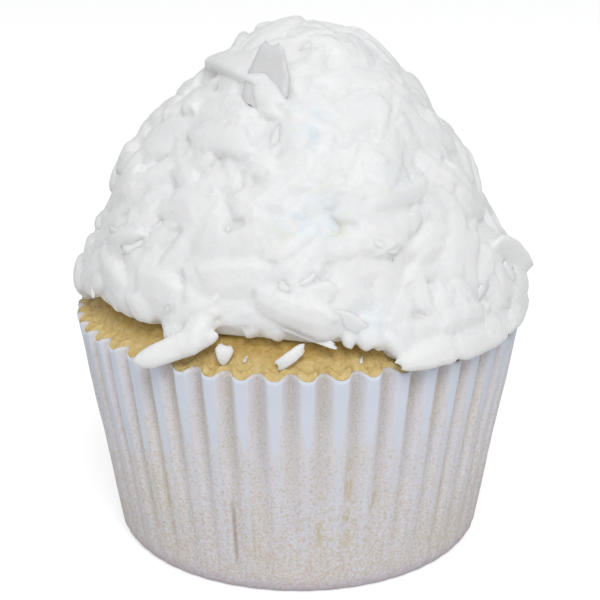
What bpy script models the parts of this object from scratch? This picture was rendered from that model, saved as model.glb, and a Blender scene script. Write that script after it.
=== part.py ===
"""A coconut cupcake: a domed sponge baked in a pleated paper case, under a tall rough
mound of frosting with broad coconut flakes pressed all over it.

Metres, +Z up. The origin is the middle of the case's flat base and the front is -Y.
An azimuth turns from the front towards +X.
"""

import math
import random

import bmesh
import bpy
from mathutils import Vector, noise

MM = 0.001
GAP = 0.3 * MM  # air between neighbouring solids

# Paper case: a standard baking cup, 50 mm across its base.
CASE_HEIGHT = 31.3 * MM
BASE_RADIUS = 25.0 * MM
RIM_RADIUS = 30.15 * MM
PAPER = 0.4 * MM
CORNER = 0.7 * MM
PLEATS = 48
PITCH = math.tau / PLEATS
FIRST_FOLD = math.radians(2.1)  # an outer fold stands this far round from the front
BASE_PLEAT = 0.12 * MM
RIM_PLEAT = 1.2 * MM
OUTER_LAND = 0.18  # half of an outer fold's flat, as a share of the pitch
INNER_LAND = 0.18

# Sponge: fills the case and domes out of it.
SPONGE_SIDE_GAP = 0.35 * MM
SPONGE_RADIUS = RIM_RADIUS - RIM_PLEAT - PAPER
LOBE_LAND = 0.10  # half of a lobe's flat, as a share of the pitch
SPONGE_LAND = 0.26  # half of the flat between two lobes
CROWN = 10.0 * MM
CROWN_POWER = 0.75
DOME_INSETS = (0.9 * MM, 2.2 * MM, 4.0 * MM)  # rings of the dome just inside its rim
DOME_MIDDLE = 0.6  # share of the radius at which its last ring sits
CRUMB_RELIEF = 0.25 * MM
CRUMB_SIZE = 2.5 * MM

# Frosting mound, measured up from the case's rim.
MOUND_RADIUS = 29.8 * MM
MOUND_HEIGHT = 37.4 * MM
MOUND_SHOULDER = 1.26  # power of the height: a larger one keeps the sides steep for longer
MOUND_ROUNDING = 0.563
MOUND_LEAN = 2.6 * MM  # how far the very top leans to the right
LEAN_POWER = 8
MOUND_HEART = Vector((0.0, 0.0, CASE_HEIGHT + 13.0 * MM))  # all of the surface faces this point
HEART_TO_SKIN = (5.0 * MM, 45.0 * MM)  # between these distances in every direction
HALVINGS = 26  # of that span, which find the surface to a thousandth of a millimetre
FRONT_TAPER = 0.035  # share by which the front is slimmer at its foot
EDGE_RADIUS = 30.2 * MM  # how far out the lower edge sits, where it reaches the rim
EDGE_WAVE = 0.5 * MM
BARE_LEFT, BARE_RIGHT = -82.0, 21.5  # degrees between which the sponge shows at the front
BARE_DEPTH = 4.4 * MM
BACK_BARE, BACK_SPREAD = 158.0, 24.0  # degrees: a second, smaller bare stretch
BACK_DEPTH = 2.4 * MM
CURL = 3.2 * MM  # height over which the lower edge turns in under itself
UNDERSIDE_GAP = 0.6 * MM
UNDERSIDE_RINGS = (0.8, 0.96)  # shares of the edge's radius
MOUND_SIDES = 48
MOUND_ROWS = 12
TOP_ROWS = 0.3  # share of the rows, from the top, with half as many points
LUMP_SIZE = 6.0 * MM
LUMP_RISE = 1.3 * MM
SMALL_LUMP_SIZE = 2.7 * MM
SMALL_LUMP_RISE = 0.52 * MM
SMALL_LUMP_SHIFT = Vector((7.0, 3.0, 1.0))

# Single lumps and dents of the mound: azimuth in degrees, height, spread and rise.
FORMS = (
    (-80.0, 61.6 * MM, 3.0 * MM, -1.8 * MM),  # notch under the left side of the top
    (-50.0, 61.2 * MM, 3.0 * MM, -1.4 * MM),
    (-80.0, 66.0 * MM, 3.5 * MM, 0.6 * MM),  # which overhangs it
    (80.0, 66.5 * MM, 4.5 * MM, -1.2 * MM),  # right side of the top
    (-60.0, 57.0 * MM, 6.0 * MM, -1.0 * MM),
    (-88.0, 51.0 * MM, 6.0 * MM, 0.9 * MM),
    (-88.0, 33.4 * MM, 3.0 * MM, 1.3 * MM),  # plain roll of frosting at the left edge
    (-55.0, 37.0 * MM, 6.0 * MM, 0.8 * MM),
    (78.0, 37.5 * MM, 5.0 * MM, 1.6 * MM),  # shelf behind the pointed flake
    (20.0, 50.0 * MM, 8.0 * MM, 0.8 * MM),
    (5.0, 40.0 * MM, 4.0 * MM, 0.8 * MM),
    (25.5, 34.6 * MM, 2.5 * MM, 1.0 * MM),
    (33.0, 34.8 * MM, 4.0 * MM, 1.0 * MM),  # over the rim at the right
    (54.0, 34.8 * MM, 4.5 * MM, 1.1 * MM),
    (14.0, 37.0 * MM, 2.2 * MM, 0.9 * MM),  # blob that hangs over the bare sponge
)

# Coconut flakes.
FLAKE = 0.95 * MM  # thickness of those that lie on the mound
FLAKE_STATIONS = 3  # cross-sections along a flake
FLAKE_TAPER = 0.35  # share of its width that a flake has lost at both ends
FLAKE_ARCH = 0.5 * MM
PROBE = 0.06  # radians to each side over which the slope under a flake is taken
FLAKE_SEED = 17
CHIPS = 76
CHIP_LENGTHS, CHIP_WIDTHS = (5.5, 10.0), (3.2, 5.2)  # mm
SHREDS = 38
SHRED_LENGTHS, SHRED_WIDTHS = (6.0, 12.0), (1.5, 2.4)  # mm
HEADINGS = (-70.0, 110.0)  # degrees
LOW_END, HIGH_END = (0.0, 0.35), (0.1, 0.9)  # mm that a flake's two ends stand proud
LEAST_SLANT, MOST_SLANT = -0.5, 0.5
HIGHEST, LOWEST = 0.99, -0.40  # sine of the climb from the heart to the first and last flake
AZIMUTH_DRAW = 0.12
CLEARANCE = 1.6 * GAP  # over the sponge and the rim
TRIES = 6
CLIMB_STEP = 0.05

# Cleaning of a joined skin.
SHORTEST_EDGE = 0.25 * MM
THINNEST_FACE = 0.03 * MM
SLIVER_AREA = 0.002 * MM * MM
LEAST_AGREEMENT = 0.85  # cosine of the most that a face may turn when an edge beside it closes
CLEANING_PASSES = 4

# Long straps pressed in across the front: azimuth, height, heading in degrees, length, width.
STRAPS = (
    (-17.0, 45.5 * MM, 30.0, 15.0 * MM, 4.5 * MM),
    (1.0, 49.5 * MM, 30.0, 19.0 * MM, 4.0 * MM),
    (13.0, 54.0 * MM, 22.0, 15.0 * MM, 4.0 * MM),
    (32.0, 50.0 * MM, 8.0, 11.0 * MM, 3.4 * MM),
    (22.0, 46.5 * MM, 12.0, 14.0 * MM, 4.0 * MM),
    (28.0, 60.5 * MM, 20.0, 12.0 * MM, 3.6 * MM),
    (-30.0, 60.0 * MM, 8.0, 13.0 * MM, 5.0 * MM),
    (-2.0, 39.5 * MM, 20.0, 12.0 * MM, 4.6 * MM),
    (48.0, 40.0 * MM, 65.0, 9.0 * MM, 5.0 * MM),
    (24.0, 41.5 * MM, 80.0, 11.0 * MM, 5.0 * MM),
    (-14.0, 37.8 * MM, -8.0, 9.0 * MM, 3.6 * MM),
    (55.0, 57.0 * MM, -65.0, 12.0 * MM, 4.0 * MM),
)
STRAP_LIFT = (0.15 * MM, 0.30 * MM)
STRAP_SLANT = 0.3

# Flakes held at one end only. Each has its two ends as azimuth in degrees, radius and height in
# mm, the direction across it, its width in mm, the share of that left at its tip, its thickness.
OVERHANGS = (
    ((-22.5, 26.6, 37.6), (-25.0, 29.7, 33.5), (0.9, -0.2, 0.1), 3.4, 0.9, 1.6),  # left rim
    ((-22.8, 28.2, 34.9), (-37.0, 32.2, 31.5), (0.35, -0.4, -0.85), 2.7, 0.8, 1.4),
    ((-28.0, 26.8, 36.0), (-33.5, 28.6, 34.2), (0.3, -0.4, -0.85), 2.8, 0.8, 1.7),
    ((36.0, 30.7, 33.2), (22.5, 30.9, 32.3), (0.29, -0.43, -0.85), 3.6, 0.35, 1.4),  # right rim
    ((30.0, 30.8, 33.6), (41.0, 31.0, 32.9), (0.2, -0.5, -0.85), 3.4, 0.9, 1.5),
    ((53.0, 30.8, 33.0), (38.5, 31.0, 32.4), (0.35, -0.4, -0.85), 3.6, 0.6, 1.3),
    ((50.0, 30.6, 34.2), (62.0, 30.8, 33.0), (0.35, -0.3, -0.85), 3.4, 0.8, 1.4),
    ((79.0, 29.8, 34.0), (62.0, 30.7, 32.6), (0.5, -0.18, -0.85), 3.2, 0.6, 1.1),
    ((-6.0, 27.6, 37.7), (8.5, 28.8, 34.7), (0.3, -0.3, -0.9), 1.5, 0.6, 0.8),  # over the sponge
    ((-3.0, 27.0, 38.6), (4.5, 28.6, 36.1), (0.3, -0.3, -0.9), 1.4, 0.5, 0.8),
    ((11.0, 27.0, 37.2), (12.0, 28.3, 34.3), (1.0, 0.2, 0.0), 1.7, 0.9, 1.4),
    ((17.0, 26.6, 37.8), (17.4, 28.7, 34.0), (1.0, 0.3, 0.0), 4.6, 0.7, 2.2),
    ((20.5, 27.8, 36.0), (24.0, 29.9, 32.9), (1.0, 0.3, -0.3), 2.6, 0.7, 1.4),
    ((66.0, 27.0, 41.2), (80.0, 31.4, 37.4), (0.1, 0.8, -0.8), 6.0, 0.15, 0.9),  # pointed, right
    ((58.0, 29.2, 35.3), (79.5, 31.3, 32.9), (0.3, -0.3, -0.9), 2.6, 0.2, 0.9),
    ((-17.0, 13.4, 61.6), (-18.0, 10.6, 67.0), (0.95, -0.12, 0.0), 5.4, 0.6, 0.8),  # near the top
    ((-24.0, 14.6, 59.6), (-74.0, 14.6, 59.0), (-0.35, -0.25, -0.9), 3.6, 0.95, 1.2),  # and notch
    ((-36.0, 11.8, 63.4), (-68.0, 11.8, 63.6), (-0.47, -0.37, -0.8), 3.2, 0.9, 1.0),  # over notch
    ((-62.0, 11.6, 63.6), (-98.0, 11.4, 63.4), (-0.59, -0.09, -0.8), 3.2, 0.8, 1.0),
)
# Flakes that have dropped onto the bare sponge.
DROPPED = (
    ((-18.2, 27.9, 34.1), (-18.5, 28.35, 31.9), (1.0, 0.1, 0.1), 2.2, 0.3, 0.6),
    ((-4.9, 28.3, 32.3), (1.2, 27.4, 34.5), (0.5, -0.3, 0.8), 1.5, 0.6, 0.6),
)

CASE_COLOUR = (0.60, 0.61, 0.65)
SPONGE_COLOUR = (0.47, 0.30, 0.10)
FROSTING_COLOUR = (0.83, 0.83, 0.83)


def clear_scene():
    for item in list(bpy.data.objects):
        bpy.data.objects.remove(item)


def polar(azimuth, radius, z):
    return Vector((radius * math.sin(azimuth), -radius * math.cos(azimuth), z))


def lerp(low, high, share):
    return low + (high - low) * share


def bell(offset, width):
    return math.exp(-((offset / width) ** 2))


def ramp(offset, width):
    """Rises smoothly from 0 to 1 as the offset goes from well below zero to well above it."""
    return 1.0 / (1.0 + math.exp(-offset / width))


def turned(azimuth, centre_degrees):
    """Signed turn in degrees from a direction to this azimuth."""
    return (math.degrees(azimuth) - centre_degrees + 180.0) % 360.0 - 180.0


def make_part(name, colour, roughness, mesh_maker):
    """One named object from the mesh that its maker fills in, with its own material."""
    shape = bmesh.new()
    mesh_maker(shape)
    bmesh.ops.recalc_face_normals(shape, faces=shape.faces)
    bmesh.ops.triangulate(shape, faces=shape.faces)
    mesh = bpy.data.meshes.new(name)
    shape.to_mesh(mesh)
    shape.free()
    part = bpy.data.objects.new(name, mesh)
    bpy.context.scene.collection.objects.link(part)
    material = bpy.data.materials.new(name)
    material.use_nodes = True
    surface = material.node_tree.nodes["Principled BSDF"]
    surface.inputs["Base Color"].default_value = (*colour, 1.0)
    surface.inputs["Roughness"].default_value = roughness
    surface.inputs["Metallic"].default_value = 0.0
    mesh.materials.append(material)
    return part


def join_rings(shape, lower, upper):
    """Faces between two closed rings, the same size or one with twice the points of the other."""
    if len(lower) < len(upper):
        lower, upper = upper, lower
    step = len(lower) // len(upper)
    for i in range(len(upper)):
        here = upper[i]
        there = upper[(i + 1) % len(upper)]
        edge = [lower[(i * step + k) % len(lower)] for k in range(step + 1)]
        if step == 1:
            shape.faces.new((edge[0], edge[1], there, here))
        else:
            shape.faces.new((edge[0], edge[1], here))
            shape.faces.new((edge[1], there, here))
            shape.faces.new((edge[1], edge[2], there))


def fan(shape, ring, tip):
    centre = shape.verts.new(tip)
    for i, point in enumerate(ring):
        shape.faces.new((point, ring[(i + 1) % len(ring)], centre))


def loft(shape, rings, first_tip, last_tip):
    """A closed skin through a list of rings, with a fan over each end."""
    made = [[shape.verts.new(point) for point in ring] for ring in rings]
    for lower, upper in zip(made, made[1:]):
        join_rings(shape, lower, upper)
    fan(shape, made[0], first_tip)
    fan(shape, made[-1], last_tip)


# --- Paper case -----------------------------------------------------------------------------


def outer_fold_radius(z):
    return lerp(BASE_RADIUS, RIM_RADIUS, z / CASE_HEIGHT)


def pleat_depth(z):
    return lerp(BASE_PLEAT, RIM_PLEAT, z / CASE_HEIGHT)


def case_ring(z, inset):
    """Four points a pleat: both ends of the outer fold's flat, then of the inner fold's."""
    outer = outer_fold_radius(z) - inset
    inner = outer - pleat_depth(z)
    ring = []
    for pleat in range(PLEATS):
        fold = FIRST_FOLD + pleat * PITCH
        ring.append(polar(fold - OUTER_LAND * PITCH, outer, z))
        ring.append(polar(fold + OUTER_LAND * PITCH, outer, z))
        ring.append(polar(fold + (0.5 - INNER_LAND) * PITCH, inner, z))
        ring.append(polar(fold + (0.5 + INNER_LAND) * PITCH, inner, z))
    return ring


def lowered(ring, z):
    return [Vector((point.x, point.y, z)) for point in ring]


def paper_case(shape):
    rings = [
        lowered(case_ring(0.0, CORNER), 0.0),
        lowered(case_ring(0.0, 0.3 * CORNER), 0.2 * CORNER),
        case_ring(CORNER, 0.0),
        case_ring(CASE_HEIGHT, 0.0),
        case_ring(CASE_HEIGHT, PAPER),
        case_ring(CORNER, PAPER),
        lowered(case_ring(0.0, CORNER), PAPER),
    ]
    loft(shape, rings, Vector(), Vector((0.0, 0.0, PAPER)))


# --- Sponge ---------------------------------------------------------------------------------


def dome_height(radius):
    """Height of the sponge's top at this distance from the middle."""
    share = min(radius / SPONGE_RADIUS, 1.0)
    return CASE_HEIGHT + CROWN * (1.0 - share * share) ** CROWN_POWER


def sponge_ring(z, inset):
    """Four points a pleat: the lobe that fills the outer fold, and the flat beside it."""
    outer = outer_fold_radius(z) - PAPER - SPONGE_SIDE_GAP - inset
    inner = outer - pleat_depth(z)
    ring = []
    for pleat in range(PLEATS):
        fold = FIRST_FOLD + pleat * PITCH
        ring.append(polar(fold - LOBE_LAND * PITCH, outer, z))
        ring.append(polar(fold + LOBE_LAND * PITCH, outer, z))
        ring.append(polar(fold + (0.5 - SPONGE_LAND) * PITCH, inner, z))
        ring.append(polar(fold + (0.5 + SPONGE_LAND) * PITCH, inner, z))
    return ring


def crumb(point):
    return CRUMB_RELIEF * noise.noise(point / CRUMB_SIZE)


def dome_ring(radius, count):
    ring = []
    for i in range(count):
        azimuth = FIRST_FOLD + (i + 0.5) * math.tau / count - 0.25 * PITCH
        point = polar(azimuth, radius, dome_height(radius))
        point.z += crumb(point)
        ring.append(point)
    return ring


def sponge(shape):
    floor = PAPER + GAP
    sides = 4 * PLEATS
    counts = (sides // 2, sides // 2, sides // 4)
    rings = [
        lowered(sponge_ring(0.0, CORNER), floor),
        sponge_ring(CORNER + GAP, 0.0),
        sponge_ring(CASE_HEIGHT - GAP, 0.0),
        lowered(sponge_ring(CASE_HEIGHT, GAP), CASE_HEIGHT + GAP),
    ]
    rings += [dome_ring(SPONGE_RADIUS - inset, count) for inset, count in zip(DOME_INSETS, counts)]
    rings.append(dome_ring(SPONGE_RADIUS * DOME_MIDDLE, sides // 8))
    loft(shape, rings, Vector((0.0, 0.0, floor)), Vector((0.0, 0.0, dome_height(0.0))))


# --- Frosting mound -------------------------------------------------------------------------


def edge_radius(azimuth):
    """How far out the frosting's lower edge sits. It stops short of the rim over the front and
    left, and over a smaller stretch at the back."""
    bare = BARE_DEPTH * ramp(turned(azimuth, BARE_LEFT), 3.3) * ramp(-turned(azimuth, BARE_RIGHT), 1.8)
    bare += BACK_DEPTH * bell(turned(azimuth, BACK_BARE), BACK_SPREAD)
    wave = 0.5 * math.sin(7.0 * azimuth + 1.0) + 0.3 * math.sin(13.0 * azimuth)
    return EDGE_RADIUS - bare + EDGE_WAVE * wave


def edge_height(azimuth):
    radius = edge_radius(azimuth)
    return max(dome_height(radius), CASE_HEIGHT) + UNDERSIDE_GAP


def mound_radius(azimuth, z):
    """The mound's smooth outline: a tall haystack whose lower edge turns in under itself."""
    edge = edge_radius(azimuth)
    turn_in = edge_height(azimuth) + CURL
    height = min(max((z - CASE_HEIGHT) / MOUND_HEIGHT, 0.0), 1.0)
    radius = MOUND_RADIUS * (1.0 - height**MOUND_SHOULDER) ** MOUND_ROUNDING
    radius *= 1.0 - FRONT_TAPER * bell(turned(azimuth, -15.0), 40.0) * (1.0 - height)
    if z < turn_in:
        under = min((turn_in - z) / CURL, 1.0)
        radius = lerp(edge, radius, math.sqrt(1.0 - under * under))
    return radius


def form_centres():
    return [
        (polar(math.radians(turn), mound_radius(math.radians(turn), z), z), spread, rise)
        for turn, z, spread, rise in FORMS
    ]


def relief(point, forms):
    rise = sum(height * bell((point - centre).length, spread) for centre, spread, height in forms)
    rise += LUMP_RISE * noise.noise(point / LUMP_SIZE)
    return rise + SMALL_LUMP_RISE * noise.noise(point / SMALL_LUMP_SIZE + SMALL_LUMP_SHIFT)


def on_mound(direction, forms):
    """The frosting's surface seen from the mound's heart in this direction."""
    step = direction.normalized()
    near, far = HEART_TO_SKIN
    for _ in range(HALVINGS):
        middle = 0.5 * (near + far)
        point = MOUND_HEART + step * middle
        azimuth = math.atan2(point.x, -point.y)
        inside = math.hypot(point.x, point.y) < mound_radius(azimuth, point.z)
        inside = inside and edge_height(azimuth) < point.z < CASE_HEIGHT + MOUND_HEIGHT
        near, far = (middle, far) if inside else (near, middle)
    point = MOUND_HEART + step * near
    height = max((point.z - CASE_HEIGHT) / MOUND_HEIGHT, 0.0)
    fade = min(max((point.z - edge_height(math.atan2(point.x, -point.y))) / CURL, 0.0), 1.0)
    point += step * relief(point, forms) * fade
    point.x += MOUND_LEAN * height**LEAN_POWER
    return point


def mound_row(share, count, forms):
    """One ring of the mound, from its top at 0 to its lower edge at 1."""
    ring = []
    for i in range(count):
        azimuth = i * math.tau / count
        edge = polar(azimuth, edge_radius(azimuth), edge_height(azimuth)) - MOUND_HEART
        lowest = math.atan2(edge.z, math.hypot(edge.x, edge.y))
        climb = lerp(math.pi / 2, lowest, share)
        ring.append(on_mound(polar(azimuth, math.cos(climb), math.sin(climb)), forms))
    return ring


def underside_ring(share, count):
    ring = []
    for i in range(count):
        azimuth = i * math.tau / count
        radius = share * edge_radius(azimuth)
        ring.append(polar(azimuth, radius, dome_height(radius) + UNDERSIDE_GAP))
    return ring


def mound(shape):
    forms = form_centres()
    rings = [underside_ring(0.5, MOUND_SIDES // 2)]
    rings += [underside_ring(share, MOUND_SIDES) for share in UNDERSIDE_RINGS]
    for row in range(MOUND_ROWS, 0, -1):
        share = row / MOUND_ROWS
        count = MOUND_SIDES if share > TOP_ROWS else MOUND_SIDES // 2
        rings.append(mound_row(share, count, forms))
    bottom = Vector((0.0, 0.0, dome_height(0.0) + UNDERSIDE_GAP))
    loft(shape, rings, bottom, on_mound(Vector((0.0, 0.0, 1.0)), forms))


# --- Coconut flakes -------------------------------------------------------------------------


def flake_block(shape, stations):
    """A closed strip from its cross-sections, each one top left, top right, low right, low left."""
    made = [[shape.verts.new(point) for point in station] for station in stations]
    for here, there in zip(made, made[1:]):
        for side in range(4):
            turn = (side + 1) % 4
            shape.faces.new((here[side], here[turn], there[turn], there[side]))
    shape.faces.new(made[0][::-1])
    shape.faces.new(made[-1])


def frame_on_mound(direction, heading, forms):
    """Place, outward normal, and the two directions along and across a flake that lies there."""
    step = direction.normalized()
    place = on_mound(step, forms)
    right = Vector((0.0, 0.0, 1.0)).cross(step)
    right = right.normalized() if right.length > 0.05 else Vector((1.0, 0.0, 0.0))
    rise = step.cross(right)
    right *= PROBE
    rise *= PROBE
    across = on_mound(step + right, forms) - on_mound(step - right, forms)
    up = on_mound(step + rise, forms) - on_mound(step - rise, forms)
    out = across.cross(up).normalized()
    along = across.normalized() * math.cos(heading) + up.normalized() * math.sin(heading)
    return place, out, along.normalized(), out.cross(along).normalized()


def laid_flake(spot, size, lift, slant, forms):
    """Cross-sections of a flake wrapped over the mound. The spot is a direction and a heading in
    degrees, and the lift is how far its middle surface stands proud at its first and last end."""
    direction, heading = spot
    length, width = size
    place, out, along, side = frame_on_mound(direction, math.radians(heading), forms)
    stations = []
    for i in range(FLAKE_STATIONS):
        share = i / (FLAKE_STATIONS - 1)
        half = 0.5 * width * (1.0 - FLAKE_TAPER * (2.0 * share - 1.0) ** 2)
        proud = lerp(lift[0], lift[1], share)
        edges = []
        for reach in (-half, half):
            run = (share - 0.5) * length + slant * reach
            spread = place + along * run + side * reach
            edges.append(on_mound(spread - MOUND_HEART, forms) + out * proud)
        thick = out * 0.5 * FLAKE
        stations.append([edges[0] + thick, edges[1] + thick, edges[1] - thick, edges[0] - thick])
    return stations


def placed_flakes(flakes):
    """Cross-sections of flakes that run from one point to another, arched a little."""
    made = []
    for start, end, across, width, tip, thickness in flakes:
        first, last = [polar(math.radians(turn), r * MM, z * MM) for turn, r, z in (start, end)]
        run = (last - first).normalized()
        side = (Vector(across) - run * run.dot(Vector(across))).normalized()
        out = run.cross(side).normalized()
        stations = []
        for i in range(FLAKE_STATIONS):
            share = i / (FLAKE_STATIONS - 1)
            centre = first.lerp(last, share) + out * FLAKE_ARCH * math.sin(math.pi * share)
            reach = side * 0.5 * width * MM * lerp(1.0, tip, share**2)
            thick = out * 0.5 * thickness * MM
            left = centre - reach
            right = centre + reach
            stations.append([left + thick, right + thick, right - thick, left - thick])
        made.append(stations)
    return made


def stands_clear(stations):
    """True where the flake keeps off the sponge and the case, tried all along its long edges."""
    for here, there in zip(stations, stations[1:]):
        for corner in range(4):
            for share in (0.0, 0.33, 0.67, 1.0):
                point = here[corner].lerp(there[corner], share)
                radius = math.hypot(point.x, point.y)
                if radius < RIM_RADIUS + 2 * GAP and point.z < CASE_HEIGHT + CLEARANCE:
                    return False
                if radius < SPONGE_RADIUS + 3 * GAP and point.z < dome_height(radius) + CLEARANCE:
                    return False
    return True


def seen_at(turn, z):
    """Direction from the mound's heart to its surface at this azimuth in degrees and height."""
    azimuth = math.radians(turn)
    return polar(azimuth, mound_radius(azimuth, z), z) - MOUND_HEART


def strap_flakes(forms):
    return [
        laid_flake((seen_at(turn, z), heading), (length, width), STRAP_LIFT, STRAP_SLANT, forms)
        for turn, z, heading, length, width in STRAPS
    ]


def scattered_flakes(count, sizes, draw, forms):
    """Flakes spread evenly by the golden angle, each moved, turned and lifted by a random draw."""
    golden = math.pi * (3.0 - math.sqrt(5.0))
    made = []
    for i in range(count):
        climb = math.asin(lerp(HIGHEST, LOWEST, (i + 0.5) / count))
        azimuth = i * golden + draw.uniform(-AZIMUTH_DRAW, AZIMUTH_DRAW)
        heading = draw.uniform(*HEADINGS)
        size = [draw.uniform(low, high) * MM for low, high in sizes]
        lift = [draw.uniform(low, high) * MM for low, high in (LOW_END, HIGH_END)]
        draw.shuffle(lift)
        slant = draw.uniform(LEAST_SLANT, MOST_SLANT)
        for _ in range(TRIES):
            spot = (polar(azimuth, math.cos(climb), math.sin(climb)), heading)
            stations = laid_flake(spot, size, lift, slant, forms)
            if stands_clear(stations):
                made.append(stations)
                break
            climb += CLIMB_STEP
    return made


def folds_over(gone, kept):
    """True where closing the edge between these points would pinch the skin or turn a face over."""
    near_gone = {edge.other_vert(gone) for edge in gone.link_edges}
    near_kept = {edge.other_vert(kept) for edge in kept.link_edges}
    if len(near_gone & near_kept) != 2:
        return True
    for face in gone.link_faces:
        if kept in face.verts:
            continue
        corners = [kept.co if point is gone else point.co for point in face.verts]
        after = (corners[1] - corners[0]).cross(corners[2] - corners[0])
        thin_before = face.calc_area() < SLIVER_AREA
        thin_after = 0.5 * after.length < SLIVER_AREA
        if thin_before and thin_after:
            continue
        if thin_before or thin_after or after.dot(face.normal) < LEAST_AGREEMENT * after.length:
            return True
    return False


def close_short_edges(shape):
    """Closes edges too short to matter, a set of separate ones at a time."""
    while True:
        shape.normal_update()
        merged = {}
        taken = set()
        short = [edge for edge in shape.edges if edge.calc_length() < SHORTEST_EDGE]
        for edge in sorted(short, key=lambda edge: edge.calc_length()):
            around = {near for point in edge.verts for side in point.link_faces for near in side.verts}
            if around & taken:
                continue
            gone, kept = edge.verts
            if folds_over(gone, kept):
                gone, kept = kept, gone
            if not folds_over(gone, kept):
                merged[gone] = kept
                taken |= around
        if not merged:
            return
        bmesh.ops.weld_verts(shape, targetmap=merged)


def turn_thin_faces(shape):
    """Turns the longest edge of each face that is nearly a line, so that the line goes."""
    shape.normal_update()
    taken = set()
    turning = []
    for face in shape.faces:
        longest = max(face.edges, key=lambda edge: edge.calc_length())
        if 2.0 * face.calc_area() > THINNEST_FACE * longest.calc_length():
            continue
        around = {point for side in longest.link_faces for point in side.verts}
        tips = list(around - set(longest.verts))
        joined = len(tips) < 2 or any(edge.other_vert(tips[0]) is tips[1] for edge in tips[0].link_edges)
        if joined or around & taken:
            continue
        taken |= around
        turning.append(longest)
    if turning:
        bmesh.ops.rotate_edges(shape, edges=turning, use_ccw=False)


def keep_main_shell(mesh):
    """Drops loose scraps, and the inner skins of any hollow that joining has sealed."""
    shape = bmesh.new()
    shape.from_mesh(mesh)
    waiting = set(shape.verts)
    shells = []
    while waiting:
        shell = set()
        front = [waiting.pop()]
        while front:
            point = front.pop()
            shell.add(point)
            near = {edge.other_vert(point) for edge in point.link_edges} & waiting
            waiting -= near
            front.extend(near)
        shells.append(shell)
    largest = max(shells, key=len)
    bmesh.ops.delete(shape, geom=[v for v in shape.verts if v not in largest], context="VERTS")
    bmesh.ops.triangulate(shape, faces=shape.faces)
    close_short_edges(shape)
    for _ in range(CLEANING_PASSES):
        turn_thin_faces(shape)
        close_short_edges(shape)
    shape.to_mesh(mesh)
    shape.free()


def join_pieces(body, pieces):
    """Fuses strips onto a body with one union, and removes the strips."""
    group = bpy.data.collections.new(body.name + "_pieces")
    bpy.context.scene.collection.children.link(group)
    for number, stations in enumerate(pieces):
        mesh = bpy.data.meshes.new(f"piece_{number}")
        shape = bmesh.new()
        flake_block(shape, stations)
        bmesh.ops.recalc_face_normals(shape, faces=shape.faces)
        bmesh.ops.triangulate(shape, faces=shape.faces)
        shape.to_mesh(mesh)
        shape.free()
        group.objects.link(bpy.data.objects.new(mesh.name, mesh))
    union = body.modifiers.new("fuse", "BOOLEAN")
    union.operation = "UNION"
    union.operand_type = "COLLECTION"
    union.collection = group
    union.solver = "EXACT"
    graph = bpy.context.evaluated_depsgraph_get()
    fused = bpy.data.meshes.new_from_object(body.evaluated_get(graph))
    fused.name = body.name
    body.modifiers.remove(union)
    body.data = fused
    for piece in list(group.objects):
        bpy.data.objects.remove(piece)
    bpy.data.collections.remove(group)
    keep_main_shell(fused)


def build():
    clear_scene()
    draw = random.Random(FLAKE_SEED)
    make_part("paper_case", CASE_COLOUR, 0.75, paper_case)
    cake = make_part("sponge", SPONGE_COLOUR, 0.9, sponge)
    join_pieces(cake, placed_flakes(DROPPED))
    topping = make_part("frosting", FROSTING_COLOUR, 0.55, mound)
    forms = form_centres()
    pieces = strap_flakes(forms) + placed_flakes(OVERHANGS)
    pieces += scattered_flakes(CHIPS, (CHIP_LENGTHS, CHIP_WIDTHS), draw, forms)
    pieces += scattered_flakes(SHREDS, (SHRED_LENGTHS, SHRED_WIDTHS), draw, forms)
    join_pieces(topping, pieces)
    for part in bpy.data.objects:
        part.data.shade_smooth()
        part.data.set_sharp_from_angle(angle=math.radians(40.0))


build()
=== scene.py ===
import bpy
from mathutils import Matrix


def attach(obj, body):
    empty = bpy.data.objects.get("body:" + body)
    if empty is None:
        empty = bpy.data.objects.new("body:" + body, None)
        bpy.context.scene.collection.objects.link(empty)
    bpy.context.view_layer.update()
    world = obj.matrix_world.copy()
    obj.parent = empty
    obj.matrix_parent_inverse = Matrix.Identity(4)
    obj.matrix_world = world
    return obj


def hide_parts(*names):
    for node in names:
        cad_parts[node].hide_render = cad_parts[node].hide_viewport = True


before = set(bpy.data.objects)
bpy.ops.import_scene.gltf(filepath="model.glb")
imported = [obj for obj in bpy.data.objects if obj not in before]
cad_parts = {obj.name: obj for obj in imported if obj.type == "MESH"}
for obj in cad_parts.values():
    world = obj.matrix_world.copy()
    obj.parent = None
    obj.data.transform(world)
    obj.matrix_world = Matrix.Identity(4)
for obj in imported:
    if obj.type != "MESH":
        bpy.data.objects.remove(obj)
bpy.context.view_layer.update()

# === Paper case ==============================================================================
# A disc of thin greaseproof paper pressed into a cup, so that its wall is gathered in pleats.
# The batter was baked in it: it clings to the cake, except at the outer folds near the rim,
# and where it clings it has gone greasy, so that the crumb shows through it as brown speckle.
import math
import random

import bpy
import numpy as np
from mathutils import Vector, noise
from mathutils.kdtree import KDTree

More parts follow.
